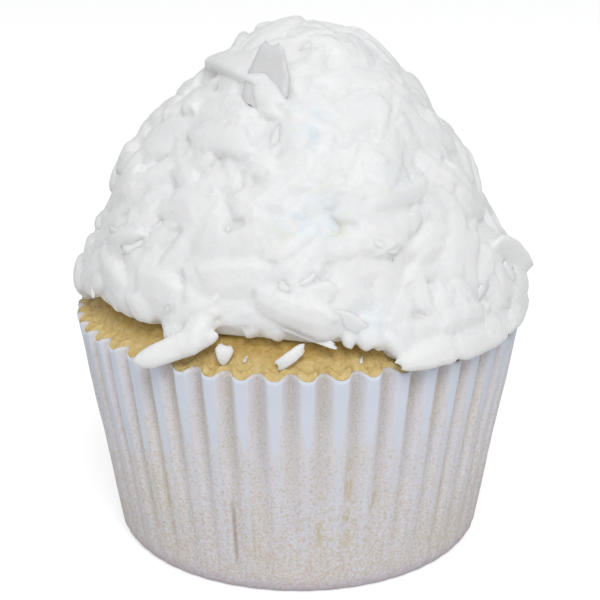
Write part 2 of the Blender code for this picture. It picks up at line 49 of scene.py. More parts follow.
MM = 0.001
WALL_HEIGHT = 31.3 * MM
BASE_RADIUS = 25.0 * MM
RIM_RADIUS = 30.15 * MM
BASE_CORNER = 0.9 * MM
PAPER = 0.12 * MM
PLEATS = 48
PITCH = math.tau / PLEATS
FIRST_FOLD = math.radians(2.1)  # the outer fold nearest the front
PLEAT_SEED = 5
UNEVEN, PUSHED = 0.05, 0.07 * MM  # how far folds stray, as a share of the pitch, and stand in or out
FOLD_DEPTHS = 0.86, 1.08  # least and greatest share of the pleat's depth
BASE_PLEAT, RIM_PLEAT = 0.07 * MM, 1.2 * MM  # depth of the pleats
PLEAT_FADE = 1.5  # how quickly the pleats flatten down the wall
OUTER_LAND, INNER_LAND = 0.18, 0.05  # half the flat of each fold, as a share of the pitch
RIM_DIP, RIM_PEAK = 0.46 * MM, 0.10 * MM  # the cut edge is lower on outer folds than on inner
DIP_SIDES = 0.05, 0.36  # share of the pitch from an outer fold over which the edge climbs
RIM_WAVE, RIM_WAVES = 0.08 * MM, 5.0  # slow rise and fall of the cut edge, and how many of them
CRUMPLES = (0.16 * MM, 5.0 * MM, 0.45), (0.05 * MM, 1.6 * MM, 0.6)  # depth, size, share in height
CLEAR_DOWN_TO = 0.69  # share of the wall's height at which the paper stops standing clear
LONGER_AT_LEFT = 0.24  # how much further down it does so at the left
LEFT_SIDE, LEFT_SPREAD = 290.0, 32.0  # where that is, as azimuth in degrees
CLEAR_UNEVEN = 0.03  # how far its end differs from pleat to pleat
CLEAR_AT_RIM, CLEAR_AT_END = 0.24, 0.11  # half the width that stands clear, as a share of the pitch
CLEAR_FRAY, FRAY_SIZE = 0.012, 3.0 * MM  # how ragged its sides are
RIDGE_HIGHLIGHT, RIDGE_HIGHLIGHT_WIDTH = 0.5, 0.10  # below that, the strength and width of a painted highlight along each outer fold
# Oily streaks, and painted shadow in creases, on the wall: azimuth and width in degrees, the shares
# of its height between which they run, and strength.
OILY_STREAKS = (
    (13.0, 1.1, 0.22, 0.62, 1.0), (5.6, 0.8, 0.22, 0.5, 0.8), (20.0, 1.0, 0.3, 0.5, 0.7),
    (-38.0, 1.2, 0.2, 0.6, 0.6),
    *((turn + 3.0 * math.sin(turn), 1.0, 0.2, 0.55, 0.7) for turn in range(40, 330, 31)),
)
CREASE_SHADOWS = (-17.6, 0.55, 0.14, 0.42, 1.0), (150.0, 0.6, 0.1, 0.5, 0.6)
BASE_RINGS = 5.0 * MM, 12.0 * MM, 18.0 * MM, 22.0 * MM, 23.6 * MM
WALL_ROWS = 46
# Points across one pleat, from one outer fold to the next.
PHASES = (0.0, 0.06, 0.11, 0.15, 0.19, 0.24, 0.29, 0.34, 0.38, 0.44,
          0.5, 0.56, 0.62, 0.66, 0.71, 0.76, 0.81, 0.85, 0.89, 0.94)
# Clinging paper, and a darker copy of it that paints the shade in the valleys of the inner folds.
CLINGING, CLINGING_VALLEY_SHADE = (0.74, 0.73, 0.785), (0.525, 0.485, 0.455)
GREASE, PALE_GREASE, PALE_STREAK = (0.70, 0.64, 0.51), (0.80, 0.775, 0.70), (0.76, 0.74, 0.74)
BROWN_SPECKLE, PALE_SPECKLE = (0.555, 0.43, 0.27), (0.84, 0.82, 0.87)
OIL, CREASE_SHADE = (0.55, 0.46, 0.20), (0.33, 0.24, 0.17)
# Dry paper, whiter than where it clings, with a painted blue tint of skylight.
DRY_SKYLIT, DRY_STREAK_SKYLIT = (0.735, 0.785, 0.88), (0.79, 0.825, 0.90)
FOOT = (0.53, 0.46, 0.62)  # where the wall turns in to the base


def lerp(low, high, share):
    return low + (high - low) * share


def smooth_step(value, low, high):
    share = np.clip((value - low) / (high - low), 0.0, 1.0)
    return share * share * (3.0 - 2.0 * share)


def bell(offset, width):
    return np.exp(-((offset / width) ** 2))


def polar(azimuth, radius, z):
    """Points from azimuth, turning from the front towards +X, distance from the axis, height."""
    azimuth, radius, z = np.broadcast_arrays(azimuth, radius, z)
    return np.stack([radius * np.sin(azimuth), -radius * np.cos(azimuth), z], axis=-1)


def grain_at(points, size, shift=0.0):
    """Smooth noise between -1 and 1 at each point, with features of this size."""
    flat = points.reshape(-1, 3) / size + shift
    return np.array([noise.noise(Vector(p)) for p in flat.tolist()]).reshape(points.shape[:-1])


def pleat_layout(seed):
    """Azimuth, depth and stand-off at each place round the wall, folds a little uneven."""
    draw = random.Random(seed)
    outer = [FIRST_FOLD + k * PITCH + draw.uniform(-UNEVEN, UNEVEN) * PITCH for k in range(PLEATS)]
    outer.append(outer[0] + math.tau)
    inner_shift = [draw.uniform(-UNEVEN, UNEVEN) * PITCH for _ in range(PLEATS)]
    push = [draw.uniform(-PUSHED, PUSHED) for _ in range(PLEATS)]
    push.append(push[0])
    depth = [draw.uniform(*FOLD_DEPTHS) for _ in range(PLEATS)]
    azimuths, folds, pushes, depths = [], [], [], []
    for k in range(PLEATS):
        inner = 0.5 * (outer[k] + outer[k + 1]) + inner_shift[k]
        for phase in PHASES:
            near, far = (outer[k], inner) if phase <= 0.5 else (inner, outer[k + 1])
            azimuths.append(lerp(near, far, (phase % 0.5) / 0.5 if phase != 0.5 else 1.0))
            from_outer = min(phase, 1.0 - phase)
            fold = float(smooth_step(from_outer, OUTER_LAND, 0.5 - INNER_LAND))
            folds.append(fold)
            pushes.append((push[k] if phase <= 0.5 else push[k + 1]) * (1.0 - fold))
            depths.append(depth[k])
    return [np.array(values) for values in (azimuths, folds, pushes, depths)]


PLEAT_AZIMUTH, PLEAT_FOLD, PLEAT_PUSH, PLEAT_DEPTH = pleat_layout(PLEAT_SEED)
FOLD_FROM_OUTER = np.tile([min(phase, 1.0 - phase) for phase in PHASES], PLEATS)


def wall_radius(height, inset):
    """The wall's radius at this share of its height, all round, less an inset."""
    outer = lerp(BASE_RADIUS, RIM_RADIUS, height)
    depth = lerp(BASE_PLEAT, RIM_PLEAT, height**PLEAT_FADE)
    return outer - depth * PLEAT_DEPTH * PLEAT_FOLD + PLEAT_PUSH * height - inset


def rim_lift(height):
    """How far the pleats' cut edge dips and peaks, which fades out down the wall."""
    lift = lerp(-RIM_DIP, RIM_PEAK, smooth_step(FOLD_FROM_OUTER, *DIP_SIDES))
    lift = lift + RIM_WAVE * np.sin(RIM_WAVES * PLEAT_AZIMUTH)
    return smooth_step(height, 0.85, 1.0) * lift


def wall_ring(height, inset):
    ring = polar(PLEAT_AZIMUTH, wall_radius(height, inset), WALL_HEIGHT * height + rim_lift(height))
    crumple = sum(depth * grain_at(ring * (1, 1, share), size) for depth, size, share in CRUMPLES)
    above_base = smooth_step(height, 0.0, 0.12)
    ring[:, :2] *= (1.0 + crumple * above_base / np.hypot(ring[:, 0], ring[:, 1]))[:, None]
    return ring


def base_rings(z, radii, inset):
    rings = []
    for radius in radii:
        share = radius / (BASE_RADIUS - BASE_CORNER)
        fluting = BASE_PLEAT * PLEAT_FOLD * share**6
        rings.append(polar(PLEAT_AZIMUTH, radius - fluting - inset * share, z))
    return rings


def ring_faces(rows, count):
    """Quads between closed rings of points."""
    here = np.arange(count)
    there = (here + 1) % count
    lower = np.arange(rows - 1)[:, None] * count
    quads = np.stack([lower + here, lower + there, lower + count + there, lower + count + here], -1)
    return quads.reshape(-1, 4).tolist()


def mark(mesh, title, numbers):
    """One number a point, under this name, for a material to read."""
    layer = mesh.attributes.new(title, "FLOAT", "POINT")
    layer.data.foreach_set("value", np.asarray(numbers, np.float32).reshape(-1))


def add_piece(name, points, faces, values=None):
    """A smooth mesh object, with the marks given in values."""
    mesh = bpy.data.meshes.new(name)
    mesh.from_pydata(points.reshape(-1, 3).tolist(), [], faces)
    mesh.update()
    for title, numbers in (values or {}).items():
        mark(mesh, title, numbers)
    mesh.shade_smooth()
    piece = bpy.data.objects.new(name, mesh)
    bpy.context.scene.collection.objects.link(piece)
    return piece


def closed_tube(rings, first_tip, last_tip):
    """Points and faces of a closed skin through rings of equal count, with a fan at each end."""
    count = len(rings[0])
    points = np.concatenate([np.reshape(rings, (-1, 3)), [first_tip, last_tip]])
    faces = ring_faces(len(rings), count)
    last = (len(rings) - 1) * count
    tip = len(points) - 2
    for i in range(count):
        turn = (i + 1) % count
        faces.append((turn, i, tip))
        faces.append((last + i, last + turn, tip + 1))
    return points, faces


heights = np.linspace(0.0, 1.0, WALL_ROWS) ** 0.9
corner = [
    polar(PLEAT_AZIMUTH, wall_radius(0.0, BASE_CORNER * (1.0 - math.sin(turn))),
          BASE_CORNER * (1.0 - math.cos(turn)))
    for turn in np.radians((15.0, 35.0, 55.0, 75.0))
]
outside = base_rings(0.0, BASE_RINGS, 0.0) + corner
outside += [wall_ring(lerp(BASE_CORNER / WALL_HEIGHT, 1.0, height), 0.0) for height in heights]
inside_heights = (1.0, 0.98, 0.95, 0.9, 0.8, 0.65, 0.5, 0.35, 0.2, 0.1, 0.05)
inside = [wall_ring(height, PAPER) for height in inside_heights]
inside += base_rings(PAPER, [23.6 * MM, 18.0 * MM, 8.0 * MM], PAPER)
rings = np.array(outside + inside)
case_points, case_faces = closed_tube(rings, (0.0, 0.0, 0.0), (0.0, 0.0, PAPER))

ring_height = np.clip(rings[..., 2] / WALL_HEIGHT, 0.0, 1.0)
turns = np.degrees(PLEAT_AZIMUTH)[None, :]
each = np.arange(PLEATS)
clear_end = CLEAR_DOWN_TO + CLEAR_UNEVEN * np.sin(2.3 * each) * np.sin(each)
clear_end = np.repeat(np.roll(clear_end, 1), len(PHASES))
clear_end = np.roll(clear_end, -len(PHASES) // 2)[None, :]
clear_end = clear_end - LONGER_AT_LEFT * bell(turns - LEFT_SIDE, LEFT_SPREAD)
above_end = np.clip((ring_height - clear_end) / (1.0 - clear_end), 0.0, 1.0)
fray = CLEAR_FRAY * grain_at(rings * (1, 1, 0.25), FRAY_SIZE)
reach = lerp(CLEAR_AT_END, CLEAR_AT_RIM, above_end) + fray
clear_and_ridge_highlight = smooth_step(reach - FOLD_FROM_OUTER[None, :], -0.05, 0.04)
clear_and_ridge_highlight *= smooth_step(ring_height, clear_end - 0.03, clear_end + 0.02)
# Painted highlight: a narrow strip along each outer fold, down the wall, gets the dry paper's lighter
# colour.
ridge_highlight = RIDGE_HIGHLIGHT * smooth_step(RIDGE_HIGHLIGHT_WIDTH - FOLD_FROM_OUTER[None, :], 0.0, 0.08)
ridge_highlight = ridge_highlight * smooth_step(ring_height, 0.06, 0.35)
clear_and_ridge_highlight = np.maximum(clear_and_ridge_highlight, ridge_highlight)
# Painted shade: the valleys of the inner folds are darkened, more so higher up the wall.
valley_shade = smooth_step(FOLD_FROM_OUTER, 0.30, 0.46)[None, :] * smooth_step(ring_height, 0.25, 0.95)


def marked(streaks):
    """Vertical marks on the wall, soft at their sides and ends."""
    total = 0.0
    for azimuth, width, low, high, strength in streaks:
        side = bell((turns - azimuth + 180.0) % 360.0 - 180.0, width)
        start = smooth_step(ring_height, low - 0.05, low + 0.05)
        end = 1.0 - smooth_step(ring_height, high - 0.08, high + 0.08)
        total = total + strength * (side * start * end)
    return np.clip(total, 0.0, 1.0)


case_values = {
    "clear_and_ridge_highlight": clear_and_ridge_highlight,
    "valley_shade": valley_shade,
    "oily": marked(OILY_STREAKS),
    "crease_shadow": marked(CREASE_SHADOWS),
    "height": ring_height,
}
case_values = {title: np.append(v.reshape(-1), (0.0, 0.0)) for title, v in case_values.items()}
case = add_piece("paper_case_pleated", case_points, case_faces, case_values)


def add_node(tree, kind, settings=None, **inputs):
    """A shader node. Each input is a value, or a socket that it is linked from."""
    made = tree.nodes.new("ShaderNode" + kind)
    for title, value in (settings or {}).items():
        setattr(made, title, value)
    for title, value in inputs.items():
        fill(tree, made.inputs[title.replace("_", " ")], value)
    return made


def fill(tree, socket, value):
    if isinstance(value, bpy.types.NodeSocket):
        tree.links.new(value, socket)
    elif isinstance(value, tuple) and len(value) == 3 and socket.type == "RGBA":
        socket.default_value = (*value, 1.0)
    else:
        socket.default_value = value


def combine(tree, operation, first, second):
    made = tree.nodes.new("ShaderNodeMath")
    made.operation = operation
    fill(tree, made.inputs[0], first)
    fill(tree, made.inputs[1], second)
    return made.outputs[0]


def mixed(tree, share, first, second):
    """A colour between two."""
    made = tree.nodes.new("ShaderNodeMix")
    made.data_type = "RGBA"
    fill(tree, made.inputs["Factor"], share)
    fill(tree, made.inputs[6], first)
    fill(tree, made.inputs[7], second)
    return made.outputs[2]


def tinted(tree, below, mask, strength, tint):
    """The colour below, tinted at this strength where the mask says."""
    return mixed(tree, combine(tree, "MULTIPLY", mask, strength), below, tint)


def eased(tree, value, low, high, first=0.0, last=1.0):
    """The value's smooth step from low to high, put between two numbers."""
    made = add_node(tree, "MapRange", {"interpolation_type": "SMOOTHSTEP"}, Value=value)
    made.inputs["From Min"].default_value = low
    made.inputs["From Max"].default_value = high
    made.inputs["To Min"].default_value = first
    made.inputs["To Max"].default_value = last
    return made.outputs["Result"]


def new_group(name, inputs, outputs):
    """An empty shader group with these sockets, each given as a name, a type and a value."""
    group = bpy.data.node_groups.new(name, "ShaderNodeTree")
    for title, kind, value in inputs:
        socket = group.interface.new_socket(title, in_out="INPUT", socket_type="NodeSocket" + kind)
        socket.default_value = value
    for title, kind in outputs:
        group.interface.new_socket(title, in_out="OUTPUT", socket_type="NodeSocket" + kind)
    return group, group.nodes.new("NodeGroupInput"), group.nodes.new("NodeGroupOutput")


def grain_group():
    """Grain of a given size: its height, and a mask of spots where it stands highest."""
    inputs = (("Size", "Float", 0.001), ("Stretch", "Float", 1.0), ("Cover", "Float", 0.5),
              ("Softness", "Float", 0.1))
    group, source, result = new_group("Grain", inputs, (("Height", "Float"), ("Spots", "Float")))
    place = add_node(group, "TexCoord").outputs["Object"]
    parts = add_node(group, "SeparateXYZ", Vector=place)
    squeezed = combine(group, "DIVIDE", parts.outputs["Z"], source.outputs["Stretch"])
    place = add_node(group, "CombineXYZ", X=parts.outputs["X"], Y=parts.outputs["Y"], Z=squeezed)
    scale = combine(group, "DIVIDE", 1.0, source.outputs["Size"])
    pattern = add_node(group, "TexNoise", Vector=place.outputs[0], Scale=scale, Detail=2.5,
                       Roughness=0.55)
    height = pattern.outputs["Fac"]
    limit = combine(group, "SUBTRACT", 0.85, combine(group, "MULTIPLY", source.outputs["Cover"], 0.7))
    above = combine(group, "SUBTRACT", height, limit)
    spots = combine(group, "DIVIDE", above, source.outputs["Softness"])
    clipped = add_node(group, "Clamp", Value=spots).outputs[0]
    group.links.new(height, result.inputs["Height"])
    group.links.new(clipped, result.inputs["Spots"])
    return group


GRAIN = grain_group()


def grain(tree, size, stretch, cover=0.5, softness=0.1):
    """The grain group placed in a material, with its own values."""
    made = tree.nodes.new("ShaderNodeGroup")
    made.node_tree = GRAIN
    for title, value in (("Size", size), ("Stretch", stretch), ("Cover", cover), ("Softness", softness)):
        fill(tree, made.inputs[title], value)
    return made.outputs


def new_material(name):
    material = bpy.data.materials.new(name)
    material.use_nodes = True
    return material, material.node_tree, material.node_tree.nodes["Principled BSDF"]


def value_of(tree, title):
    return add_node(tree, "Attribute", {"attribute_name": title}).outputs["Fac"]


def raised(tree, height, distance, below=None):
    """A bump of this depth, on top of another one."""
    made = add_node(tree, "Bump", Strength=1.0, Distance=distance, Height=height)
    if below is not None:
        tree.links.new(below, made.inputs["Normal"])
    return made.outputs["Normal"]


def paper_material():
    material, tree, surface = new_material("greaseproof_paper")
    # The first mark is the paper that stands clear near the rim, together with the painted highlight
    # along the outer folds below it.
    clear, valley_shade_mask, low = [value_of(tree, title) for title in ("clear_and_ridge_highlight", "valley_shade", "height")]
    patches = grain(tree, 6.0 * MM, 1.6, 0.55, 0.35)
    streaks = grain(tree, 1.3 * MM, 7.0, 0.5, 0.4)
    wide = grain(tree, 14.0 * MM, 1.0, 0.5, 0.3)
    # Painted shade: the clinging paper is darker in the valleys of the inner folds.
    greasy = mixed(tree, valley_shade_mask, CLINGING, CLINGING_VALLEY_SHADE)
    greasy = tinted(tree, greasy, streaks["Spots"], 0.45, PALE_STREAK)
    greasy = tinted(tree, greasy, patches["Spots"], 0.5, GREASE)
    greasy = tinted(tree, greasy, wide["Spots"], 0.4, PALE_GREASE)
    amount = combine(tree, "ADD", eased(tree, low, 0.0, 0.95, 0.60, 0.30),
                     combine(tree, "MULTIPLY", patches["Height"], 0.24))
    speckle = grain(tree, 0.38 * MM, 1.1, amount, 0.24)
    greasy = tinted(tree, greasy, speckle["Spots"], 0.6, BROWN_SPECKLE)
    greasy = tinted(tree, greasy, grain(tree, 0.25 * MM, 1.0, 0.62, 0.2)["Spots"], 0.4, PALE_SPECKLE)
    broken = eased(tree, grain(tree, 1.0 * MM, 2.0)["Height"], 0.38, 0.6)
    oily = combine(tree, "MULTIPLY", value_of(tree, "oily"), broken)
    greasy = tinted(tree, greasy, oily, 0.65, OIL)
    # Painted shadow: the creases are darkened brown.
    greasy = tinted(tree, greasy, value_of(tree, "crease_shadow"), 0.7, CREASE_SHADE)
    # Painted skylight: the dry paper's colour carries a blue tint.
    dry_skylit = tinted(tree, DRY_SKYLIT, streaks["Spots"], 0.25, DRY_STREAK_SKYLIT)
    colour = mixed(tree, clear, greasy, dry_skylit)
    colour = mixed(tree, eased(tree, low, 0.0, 0.10, 0.35, 0.0), colour, FOOT)
    fill(tree, surface.inputs["Base Color"], colour)
    fill(tree, surface.inputs["Roughness"], eased(tree, clear, 0.0, 1.0, 0.55, 0.8))
    wrinkles = raised(tree, streaks["Height"], 0.10 * MM)
    fill(tree, surface.inputs["Normal"], raised(tree, speckle["Height"], 0.05 * MM, wrinkles))
    surface.inputs["Specular IOR Level"].default_value = 0.3
    return material


case.data.materials.append(paper_material())
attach(case, "root")
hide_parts("paper_case")

# === Sponge ==================================================================================
# A yellow butter sponge that has risen out of the case. Its skin is a fine open crumb, darker
# where the frosting shades it, and it has filled each outer fold of the paper with a lobe.
DOME_RADIUS = 28.55 * MM
DOME_HEIGHT = 10.0 * MM
DOME_POWER = 0.75
CASE_GAP = 0.03 * MM  # between the crumb and the paper's inside
LOBE_RISE, LOBE_SHARE = 0.75 * MM, 0.11  # how high and how far in each lobe bulges at the rim
RING_IN = 20.0 * MM  # the innermost ring of the dome, under the frosting
CRUMB, CRUMB_SIZE = 0.16 * MM, 1.5 * MM
FINE_CRUMB, FINE_CRUMB_SIZE = 0.08 * MM, 0.6 * MM
PORE, PORE_SIZE, PORE_START = 0.45 * MM, 0.8 * MM, 0.22
SHADED_FROM, SHADED_TO = 1.2 * MM, 3.6 * MM  # how far in from the rim the frosting shades it
CRUST, SHADED_CRUST, BROWNED = (0.67, 0.51, 0.215), (0.49, 0.33, 0.095), (0.58, 0.36, 0.09)
PALE_CRUMB, PORE_BROWN = (0.80, 0.63, 0.30), (0.42, 0.24, 0.05)


def dome_height(radius):
    share = np.clip(radius / DOME_RADIUS, 0.0, 1.0)
    return WALL_HEIGHT + DOME_HEIGHT * (1.0 - share * share) ** DOME_POWER


def crumb_relief(points):
    """Pores and crumbs of a baked skin, in metres."""
    coarse = grain_at(points, CRUMB_SIZE)
    fine = grain_at(points, FINE_CRUMB_SIZE, 7.0)
    pits = np.clip(grain_at(points, PORE_SIZE, 3.0) - PORE_START, 0.0, 1.0)
    return CRUMB * coarse + FINE_CRUMB * fine - PORE * pits


def sponge_dome_ring(share):
    """A ring between the wall, at 0, and the hidden middle of the dome, at 1."""
    wall = wall_radius(1.0, PAPER + CASE_GAP)
    radius = lerp(wall, RING_IN, share)
    low = WALL_HEIGHT - 0.06 * MM + rim_lift(1.0)
    top = np.maximum(low + LOBE_RISE, dome_height(radius) + 0.1 * MM)
    height = lerp(low, top, math.sin(min(share / LOBE_SHARE, 1.0) * 0.5 * math.pi))
    ring = polar(PLEAT_AZIMUTH, radius, height)
    ring[:, 2] += crumb_relief(ring) * float(smooth_step(share, 0.0, 0.05))
    return ring


side_shares = (0.02, 0.25, 0.5, 0.7, 0.85, 0.93, 0.97, 0.99)
sponge_rings = [wall_ring(share, PAPER + 0.05 * MM) for share in side_shares]
sponge_rings += [sponge_dome_ring(share) for share in np.linspace(0.0, 0.62, 34)]
sponge_rings += [sponge_dome_ring(share) for share in (0.72, 0.85, 1.0)]
sponge_points, sponge_faces = closed_tube(sponge_rings, (0.0, 0.0, 0.02 * WALL_HEIGHT),
                                          (0.0, 0.0, WALL_HEIGHT + DOME_HEIGHT))
reach_in = RIM_RADIUS - np.hypot(sponge_points[:, 0], sponge_points[:, 1])
sponge = add_piece("sponge_crumb", sponge_points, sponge_faces,
                   {"shaded": smooth_step(reach_in, SHADED_FROM, SHADED_TO)})


def sponge_material():
    material, tree, surface = new_material("baked_sponge")
    crumbs = grain(tree, 1.1 * MM, 1.0, 0.5, 0.25)
    browned = grain(tree, 2.6 * MM, 1.0, 0.5, 0.3)
    pores = grain(tree, 0.5 * MM, 1.0, 0.42, 0.12)
    colour = mixed(tree, value_of(tree, "shaded"), CRUST, SHADED_CRUST)
    colour = tinted(tree, colour, browned["Spots"], 0.6, BROWNED)
    colour = tinted(tree, colour, crumbs["Spots"], 0.5, PALE_CRUMB)
    colour = tinted(tree, colour, pores["Spots"], 0.4, PORE_BROWN)
    fill(tree, surface.inputs["Base Color"], colour)
    surface.inputs["Roughness"].default_value = 0.5
    surface.inputs["Specular IOR Level"].default_value = 0.4
    surface.inputs["Subsurface Weight"].default_value = 0.15
    surface.inputs["Subsurface Radius"].default_value = (1.0, 0.6, 0.25)
    surface.inputs["Subsurface Scale"].default_value = 0.8 * MM
    bumps = raised(tree, crumbs["Height"], 0.35 * MM)
    fill(tree, surface.inputs["Normal"], raised(tree, pores["Height"], 0.2 * MM, bumps))
    return material


sponge.data.materials.append(sponge_material())
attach(sponge, "root")
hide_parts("sponge")

# === Frosting ================================================================================
# Soft white buttercream, heaped by hand into a tall round mound and rolled in coconut. The
# first flakes have sunk into it, so its surface is all soft steps, facets and hollows.
MOUND_RADIUS = 29.8 * MM
MOUND_HEIGHT = 37.4 * MM
MOUND_SHOULDER, MOUND_ROUNDING = 1.26, 0.563  # powers that give the haystack its outline
MOUND_LEAN = 2.6 * MM  # how far the very top leans to the right
LEAN_POWER = 8
MOUND_HEART = np.array((0.0, 0.0, WALL_HEIGHT + 13.0 * MM))  # all of the surface faces this point
FRONT_TAPER = 0.035  # share by which the mound's foot is slimmer in front
EDGE_RADIUS = 30.2 * MM
EDGE_WAVE = 0.5 * MM
BARE_LEFT, BARE_RIGHT, BARE_DEPTH = -82.0, 21.5, 4.4 * MM  # where the sponge is bare in front
BACK_BARE, BACK_SPREAD, BACK_DEPTH = 158.0, 24.0, 2.4 * MM  # and behind
CURL = 3.2 * MM  # height over which the lower edge turns in
UNDERSIDE_GAP = 0.25 * MM
LUMP_SIZE, LUMP_RISE = 6.0 * MM, 1.3 * MM
SEARCH, HALVINGS = (5.0 * MM, 45.0 * MM), 26  # how far out from the heart the surface is looked for
FORMS = (
    (-80.0, 61.6, 3.0, -1.8),  # notch under the left side of the top
    (-50.0, 61.2, 3.0, -1.4),
    (-80.0, 66.5, 3.5, 0.9),  # which overhangs it
    (80.0, 66.5, 4.5, -1.2),
    (-60.0, 57.0, 6.0, -1.0),
    (-88.0, 51.0, 6.0, 0.9),
    (-88.0, 33.4, 3.0, 1.3),  # plain roll of frosting at the left edge
    (-55.0, 37.0, 6.0, 0.8),
    (78.0, 37.5, 5.0, 1.6),  # shelf behind the pointed flake
    (20.0, 50.0, 8.0, 0.8),
    (5.0, 40.0, 4.0, 0.8),
    (25.5, 34.6, 2.5, 1.0),
    (33.0, 34.8, 4.0, 1.0),  # over the rim at the right
    (54.0, 34.8, 4.5, 1.1),
    (14.0, 37.0, 2.2, 0.9),  # blob that hangs over the bare sponge
)  # azimuth in degrees, height, spread and rise in mm


def ramp(offset, width):
    return 1.0 / (1.0 + np.exp(-offset / width))


def turned(azimuth, centre_degrees):
    return (np.degrees(azimuth) - centre_degrees + 180.0) % 360.0 - 180.0


def edge_radius(azimuth):
    """Where the frosting's lower edge sits: short of the rim over the front and left."""
    bare = BARE_DEPTH * ramp(turned(azimuth, BARE_LEFT), 3.3) * ramp(-turned(azimuth, BARE_RIGHT), 1.8)
    bare = bare + BACK_DEPTH * bell(turned(azimuth, BACK_BARE), BACK_SPREAD)
    wave = 0.5 * np.sin(7.0 * azimuth + 1.0) + 0.3 * np.sin(13.0 * azimuth)
    return EDGE_RADIUS - bare + EDGE_WAVE * wave


def edge_height(azimuth):
    return np.maximum(dome_height(edge_radius(azimuth)), WALL_HEIGHT) + UNDERSIDE_GAP


def mound_radius(azimuth, z):
    """The mound's smooth outline: a tall haystack whose lower edge turns in under itself."""
    turn_in = edge_height(azimuth) + CURL
    height = np.clip((z - WALL_HEIGHT) / MOUND_HEIGHT, 0.0, 1.0)
    radius = MOUND_RADIUS * (1.0 - height**MOUND_SHOULDER) ** MOUND_ROUNDING
    radius = radius * (1.0 - FRONT_TAPER * bell(turned(azimuth, -15.0), 40.0) * (1.0 - height))
    under = np.clip((turn_in - z) / CURL, 0.0, 1.0)
    return np.where(z < turn_in, lerp(edge_radius(azimuth), radius, np.sqrt(1.0 - under**2)), radius)


def on_outline(turn, z):
    """The point of the smooth outline at an azimuth in degrees and a height in mm."""
    azimuth = math.radians(turn)
    return polar(azimuth, mound_radius(azimuth, z * MM), z * MM)


MOUND_FORMS = [(on_outline(turn, z), spread * MM, rise * MM) for turn, z, spread, rise in FORMS]


def relief(points, fineness):
    """Lumps and dents. The finest of them count by this share."""
    rise = sum(r * bell(np.linalg.norm(points - c, axis=-1), s) for c, s, r in MOUND_FORMS)
    rise = rise + LUMP_RISE * grain_at(points, LUMP_SIZE)
    fine = grain_at(points, 0.45 * LUMP_SIZE, np.array((7.0, 3.0, 1.0)))
    return rise + 0.4 * LUMP_RISE * fineness * fine


def on_mound(directions, fineness=1.0):
    """The frosting's surface seen from the mound's heart in each direction."""
    step = directions / np.linalg.norm(directions, axis=-1, keepdims=True)
    near, far = [np.full(step.shape[:-1], reach) for reach in SEARCH]
    for _ in range(HALVINGS):
        middle = 0.5 * (near + far)
        point = MOUND_HEART + step * middle[..., None]
        azimuth = np.arctan2(point[..., 0], -point[..., 1])
        inside = np.hypot(point[..., 0], point[..., 1]) < mound_radius(azimuth, point[..., 2])
        inside &= (edge_height(azimuth) < point[..., 2]) & (point[..., 2] < WALL_HEIGHT + MOUND_HEIGHT)
        near = np.where(inside, middle, near)
        far = np.where(inside, far, middle)
    point = MOUND_HEART + step * near[..., None]
    height = np.maximum((point[..., 2] - WALL_HEIGHT) / MOUND_HEIGHT, 0.0)
    azimuth = np.arctan2(point[..., 0], -point[..., 1])
    fade = np.clip((point[..., 2] - edge_height(azimuth)) / CURL, 0.0, 1.0)
    point = point + step * (relief(point, fineness) * fade)[..., None]
    point[..., 0] += MOUND_LEAN * height**LEAN_POWER
    return point


FLAKE_ALONG = np.array((-1.0, -0.97, -0.86, -0.6, -0.3, 0.0, 0.3, 0.6, 0.86, 0.97, 1.0))
FLAKE_ACROSS = np.array((-1.0, -0.94, -0.7, 0.0, 0.7, 0.94, 1.0))
ROUNDED = 0.75  # how far a flake's corners are rounded off, where 1 brings its ends to a point
FOLLOW = 0.5 / (36.0 * MM)  # bend of a flake that lies loose, as its drop over distance squared
HIGHEST, LOWEST = 0.99, -0.41  # sine of the climb from the heart to the first and last flake
HEADING, HEADING_SPREAD = 30.0, 55.0  # most flakes run up to the right
SLANT, END_WIDTHS = 0.6, (0.55, 1.05)  # how unevenly a flake is cut
STRAY = 0.12  # how far it lies from its even place, in radians
TRIES, HIGHER = 7, 0.05  # how often it is moved up to keep off the cake, and how far in radians
CAKE_GAP = 0.8 * MM


def flake_faces(start):
    """Faces of a flat pillow: a grid on top and one below, which share their border."""
    rows, columns = len(FLAKE_ALONG), len(FLAKE_ACROSS)
    top = start + np.arange(rows * columns).reshape(rows, columns)
    low = top.copy()
    low[1:-1, 1:-1] = start + rows * columns + np.arange((rows - 2) * (columns - 2)).reshape(
        rows - 2, columns - 2)
    faces = []
    for grid, order in ((top, (0, 1, 2, 3)), (low, (3, 2, 1, 0))):
        corners = np.stack([grid[:-1, :-1], grid[:-1, 1:], grid[1:, 1:], grid[1:, :-1]], -1)
        faces += corners.reshape(-1, 4)[:, order].tolist()
    return faces


